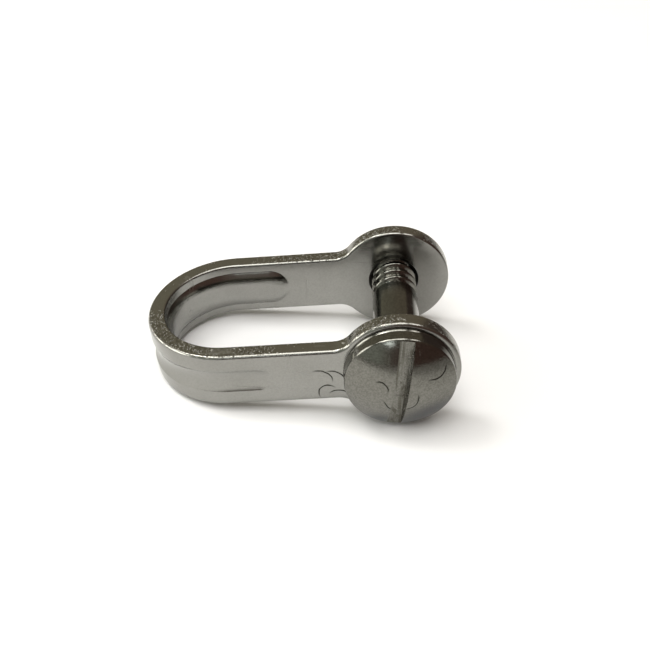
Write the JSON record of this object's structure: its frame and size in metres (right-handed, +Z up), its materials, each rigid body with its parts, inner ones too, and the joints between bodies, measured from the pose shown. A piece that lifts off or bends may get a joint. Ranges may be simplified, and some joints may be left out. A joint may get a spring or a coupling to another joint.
{
  "type": "strip shackle",
  "caption": "Long round-bowed shackle pressed from stainless strip, with round lugs and a slotted, dome-headed screw pin that draws out to open it.",
  "frame": {"origin": "middle of the shackle's footprint, on the ground it lies on: both lugs' rims and the bow's lower edge touch z = 0", "axes": "+X from the bow towards the lugs, along the ground; +Y along the pin, from its head towards its threaded end; +Z up. The strip slopes up 6.61 degrees towards the lugs, as the shackle lies."},
  "size_m": [0.0318, 0.021, 0.012],
  "materials": {
    "polished_strip": "tumble-polished faces, sheared edges with tool marks",
    "polished_pin": "polished, with fine scratches"
  },
  "bodies": {
    "shackle": {"shackle_body": "polished_strip"},
    "pin": {"screw_pin": "polished_pin"}
  },
  "joints": [
    {"name": "pin_withdraw", "type": "slide", "parent": "shackle", "child": "pin", "axis": [0, -1, 0], "range_m": [0, 0.02]}
  ]
}
